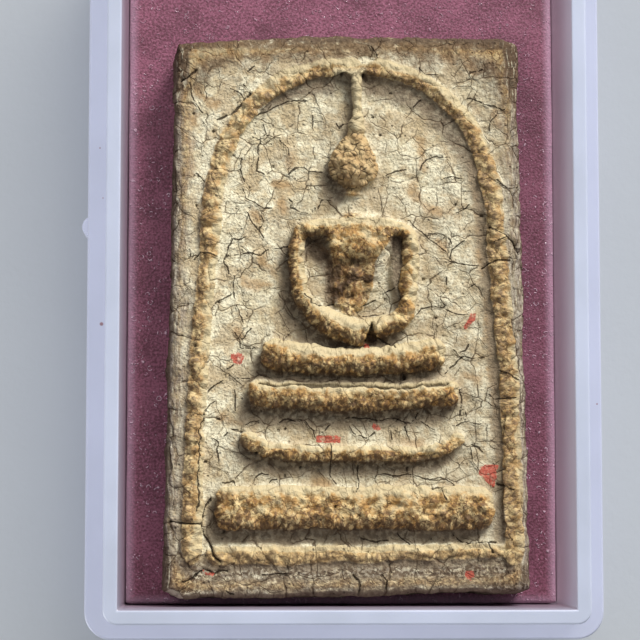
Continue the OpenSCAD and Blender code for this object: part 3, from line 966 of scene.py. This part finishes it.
def makePad():
    low, high = (inMm(corner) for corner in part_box("foam_pad"))
    spread = padLook["spread"]
    pad = roundBlock("foamPad", [low[0] - spread, low[1] - spread, low[2]],
                     [high[0] + spread, high[1] + spread, high[2]], 0)
    edited(pad, "EDGE", "SELECT", bpy.ops.mesh.bevel, offset=padLook["edgeRound"], segments=3)
    return pad


def foamSurface(net, solid):
    place = net.add("GeometryNodeInputPosition")
    normal = net.add("GeometryNodeInputNormal")
    lumpWide, lumpHigh = padLook["lumps"]
    swellWide, swellHigh = padLook["swell"]
    lumps = (net.solidNoise(place, lumpWide, 2, 3) - 0.6) * lumpHigh
    swell = (net.solidNoise(place, swellWide, 1, 9) - 0.6) * swellHigh
    shift = net.scaled(normal, lumps + swell)
    return net.add("GeometryNodeSetPosition", None, {"Geometry": solid, "Offset": shift})


pad = makePad()
applyModifier(pad, "REMESH", mode="VOXEL", voxel_size=padLook["voxel"], use_smooth_shade=True)
applyNodes(pad, "foamSurface", foamSurface)
resized(pad, mm)


def foamFinish(net):
    look = padLook
    place = net.place()
    x, y = net.parts(place)[:2]
    coats = Coats(net, look, "dark")
    mottled = net.solidNoise(place, look["grain"]) * 0.7 + net.solidNoise(place, 2.5, 2, 7) * 0.3
    coats.lay("bright", net.ease(mottled, 0.36, 0.64))
    # Painted glints of light on the foam's bubbles: an arc or nothing in each large cell, a dot or
    # nothing in each small one, fewer towards the top
    arcAt = net.bent(place, 0.5, 0.08, False)
    pick = net.cellTone(arcAt, look["arcCell"], flat=False)
    ring = net.cells(arcAt, look["arcCell"], flat=False) - 0.06 - pick * 0.14
    arc = net.ease(net.maths("ABSOLUTE", ring), 0.05, 0.015) * net.ease(pick, 0.3, 0.45)
    arc = arc * net.ease(net.solidNoise(place, 0.22, 1, 15), 0.48, 0.6)
    dotPick = net.cellTone(place, look["dotCell"], 21, False, 1)
    dot = net.ease(net.cells(place, look["dotCell"], shift=21, flat=False), 0.075, 0.03)
    glints = net.most(arc, dot * net.ease(dotPick, 0.45, 0.9) * 0.8)
    coats.lay("glint", glints * net.ease(y, 18.0, 6.0, 0.25, 0.7))
    # Painted shadow of the right wall: the pad is darker towards the right
    coats.lay("dark", net.ease(x, 10.0, 14.0) * 0.2)
    # The milky walls shine on the pad's border
    wide, long = inMm(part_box("foam_pad")[1])[:2]
    inward = net.least(wide - net.maths("ABSOLUTE", x), long - net.maths("ABSOLUTE", y))
    coats.lay("border", net.ease(inward, 0.8, 0.0) * 0.5)
    grit = net.solidNoise(place, 0.14, 2, 5) * 0.05 + glints * 0.05
    return {
        "Base Color": coats.colour,
        "Roughness": net.blend(glints, 0.55, 0.2),
        "Normal": net.bump(grit, 1.0),
        "Sheen Weight": 0.15,
        "Sheen Roughness": 0.5,
    }


pad.data.materials.clear()
pad.data.materials.append(makeMaterial("foam", foamFinish))
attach(pad, "root")
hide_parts("foam_pad")

print("box tray")

trayLook = {
    "outerRound": 1.9,
    "lipRound": 1.0,
    "lipThick": 1.0,
    "lipHeight": 4.3,
    "ledgeSide": 1.5,
    "ledgeEnd": 1.2,
    "floorThick": 1.2,
    "nubHeight": 2.2,
    "nubWide": 1.5,
    "nubProud": 0.4,
    "nubSunk": 0.16,
    "nubAlong": 3.4,
    "nubSoft": 0.08,
    "edgeSoft": 0.15,
    "milk": srgb(180, 185, 201),
    "shade": srgb(171, 176, 190),
    "lilac": srgb(169, 171, 190),
    "foamReflectionShade": srgb(130, 112, 124),
    # Where each speck is in the photograph, and its radius in mm
    "specks": [((100, 148), 0.07), ((103, 198), 0.06), ((597, 404), 0.08), ((101.5, 324), 0.17)],
    "speck": srgb(120, 74, 74),
}


def joinShape(piece, other, operation):
    applyModifier(piece, "BOOLEAN", operation=operation, object=other, solver="EXACT")
    bpy.data.objects.remove(other)


def makeTray():
    look = trayLook
    wide, long, top = inMm(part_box("box_tray")[1])
    ledge = top - look["lipHeight"]
    side = look["lipThick"] + look["ledgeSide"]
    end = look["lipThick"] + look["ledgeEnd"]
    tray = roundBlock("boxTray", (-wide, -long, 0), (wide, long, ledge), look["outerRound"])
    # Each block starts inside the last one, so that no two faces share a plane
    lipLow = (-wide + look["ledgeSide"], -long + look["ledgeEnd"], ledge / 2)
    lipHigh = (wide - look["ledgeSide"], long - look["ledgeEnd"], top)
    joinShape(tray, roundBlock("lip", lipLow, lipHigh, look["lipRound"]), "UNION")
    cavityLow = (-wide + side, -long + end, look["floorThick"])
    cavityHigh = (wide - side, long - end, top + 1)
    joinShape(tray, roundBlock("cavity", cavityLow, cavityHigh, 0), "DIFFERENCE")
    edited(tray, "VERT", "SELECT", bpy.ops.mesh.remove_doubles, threshold=0.001)
    cornersOnly = {"limit_method": "ANGLE", "angle_limit": math.radians(40)}
    applyModifier(tray, "BEVEL", width=look["edgeSoft"], segments=3, use_clamp_overlap=False,
                  loop_slide=False, **cornersOnly)
    nubX = -wide + look["nubWide"] / 2 - look["nubProud"]
    bpy.ops.object.select_all(action="DESELECT")
    bpy.ops.mesh.primitive_cylinder_add(
        vertices=48, radius=look["nubWide"] / 2, depth=look["nubHeight"],
        location=(nubX, look["nubAlong"], ledge - look["nubSunk"] - look["nubHeight"] / 2))
    nub = bpy.context.object
    applyModifier(nub, "BEVEL", width=look["nubSoft"], segments=2, **cornersOnly)
    joinShape(tray, nub, "UNION")
    onlyActive(tray)
    bpy.ops.object.shade_smooth_by_angle(angle=math.radians(35))
    applyModifier(tray, "WEIGHTED_NORMAL", keep_sharp=True)
    return tray


tray = makeTray()
resized(tray, mm)


def trayFinish(net):
    look = trayLook
    place = net.place()
    x, y, z = net.parts(place)
    coats = Coats(net, look, "milk")
    coats.lay("shade", net.ease(net.solidNoise(place, 6), 0.3, 0.7))
    # Lower down the tray is painted more lilac and darker: painted shade under the lip
    coats.lay("lilac", net.ease(z, 11.5, 9.6) * 0.55)
    # Painted reflection of the mauve foam, and painted shade, on the inside of the walls, strongest
    # low down
    wide, long, top = inMm(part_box("box_tray")[1])
    wallX = wide - look["lipThick"] - look["ledgeSide"]
    wallY = long - look["lipThick"] - look["ledgeEnd"]
    inside = net.ease(net.maths("ABSOLUTE", x), wallX + 0.06, wallX + 0.03)
    inside = inside * net.ease(net.maths("ABSOLUTE", y), wallY + 0.06, wallY + 0.03)
    coats.lay("foamReflectionShade", inside * net.ease(z, 16.0, 5.0, 0.35, 0.95))
    for pixel, size in look["specks"]:
        spot = onPlane(pixel, top - look["lipHeight"])
        away = net.vector("DISTANCE", place, tuple(spot), 1)
        coats.lay("speck", net.ease(away, size, size * 0.5) * 0.8)
    return {
        "Base Color": coats.colour,
        "Roughness": 0.32,
        "Subsurface Weight": 0.15,
        "Subsurface Radius": (1.0, 1.0, 1.2),
        "Subsurface Scale": 0.0006,
        "Normal": net.bump(net.solidNoise(place, 0.8, 3, 5) * 0.01, 0.4),
    }


tray.data.materials.clear()
tray.data.materials.append(makeMaterial("milkyPlastic", trayFinish))
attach(tray, "root")
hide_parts("box_tray")

print("floor and light")

lighting = {
    "lampAway": 0.6,                # metres from the tray to each lamp
    "aimHeight": 8,
    "keyWay": (0.45, 0.75, 0.5),    # from the middle of the tray towards the lamp
    "keySize": 0.26,
    "keyPower": 4.6,
    "softSize": 0.4,
    "softPower": 1.5,               # the tray's walls hold this part of the light back
    "glowWay": (-0.5, 0.6, 0.6),
    "glowPower": 1.4,
    "wallWay": (-0.9, -0.5, 0.1),
    "wallPower": 3.3,
    "roomWay": (0.4, 0.5, 0.75),
    "roomSize": 0.6,
    "roomPower": 1.6,
    "sky": (0.88, 0.92, 0.97),
    "skyPower": 0.5,
    "paper": srgb(221, 224, 226),
    "paperWide": 1.6,
}


def addLamp(name, way, size, power, lit, blockers):
    # A round lamp that lights only the pieces lit; only the blockers cast its shadows
    data = bpy.data.lights.new(name, "AREA")
    data.shape = "DISK"
    data.size = size
    data.energy = power
    lamp = bpy.data.objects.new(name, data)
    bpy.context.scene.collection.objects.link(lamp)
    way = Vector(way).normalized()
    lamp.location = Vector((0, 0, lighting["aimHeight"] * mm)) + way * lighting["lampAway"]
    lamp.rotation_euler = way.to_track_quat("Z", "Y").to_euler()
    for role, pieces in (("receiver", lit), ("blocker", blockers)):
        group = bpy.data.collections.new(name + role.capitalize())
        for piece in pieces:
            group.objects.link(piece)
        setattr(lamp.light_linking, role + "_collection", group)


def paperFinish(net):
    place = net.add("ShaderNodeTexCoord", None, None, "Object")
    dark = tuple(level * 0.9 for level in lighting["paper"])
    return {
        "Base Color": net.paint(net.noise(place, 0.03, 3), dark, lighting["paper"]),
        "Roughness": 0.9,
        "Normal": net.bump(net.noise(place, 0.0008, 3) * 0.0001, 0.3, 1.0),
    }


bpy.ops.object.select_all(action="DESELECT")
bpy.ops.mesh.primitive_plane_add(size=lighting["paperWide"], location=(0, 0, 0))
floor = bpy.context.object
floor.name = floor.data.name = "paleFloor"
floor.data.materials.append(makeMaterial("palePaper", paperFinish))

# The thin milky walls let the key light through to what lies in the tray
inTray = [tablet, pad]
everything = [tablet, pad, tray]
for name, way, size, power, lit, blockers in (
        ("key", "keyWay", "keySize", "keyPower", everything, inTray),
        ("soft", "keyWay", "softSize", "softPower", everything, everything),
        ("glow", "glowWay", "softSize", "glowPower", [pad], [tablet]),
        ("wall", "wallWay", "softSize", "wallPower", [tray], [pad]),
        ("room", "roomWay", "roomSize", "roomPower", [floor], [tablet, tray])):
    addLamp(name + "Lamp", lighting[way], lighting[size], lighting[power], lit, blockers)

world = bpy.data.worlds.new("softRoom")
world.use_nodes = True
background = world.node_tree.nodes["Background"]
background.inputs["Color"].default_value = (*lighting["sky"], 1)
background.inputs["Strength"].default_value = lighting["skyPower"]
bpy.context.scene.world = world
bpy.context.scene.view_settings.view_transform = "Standard"   # a photograph's plain colours
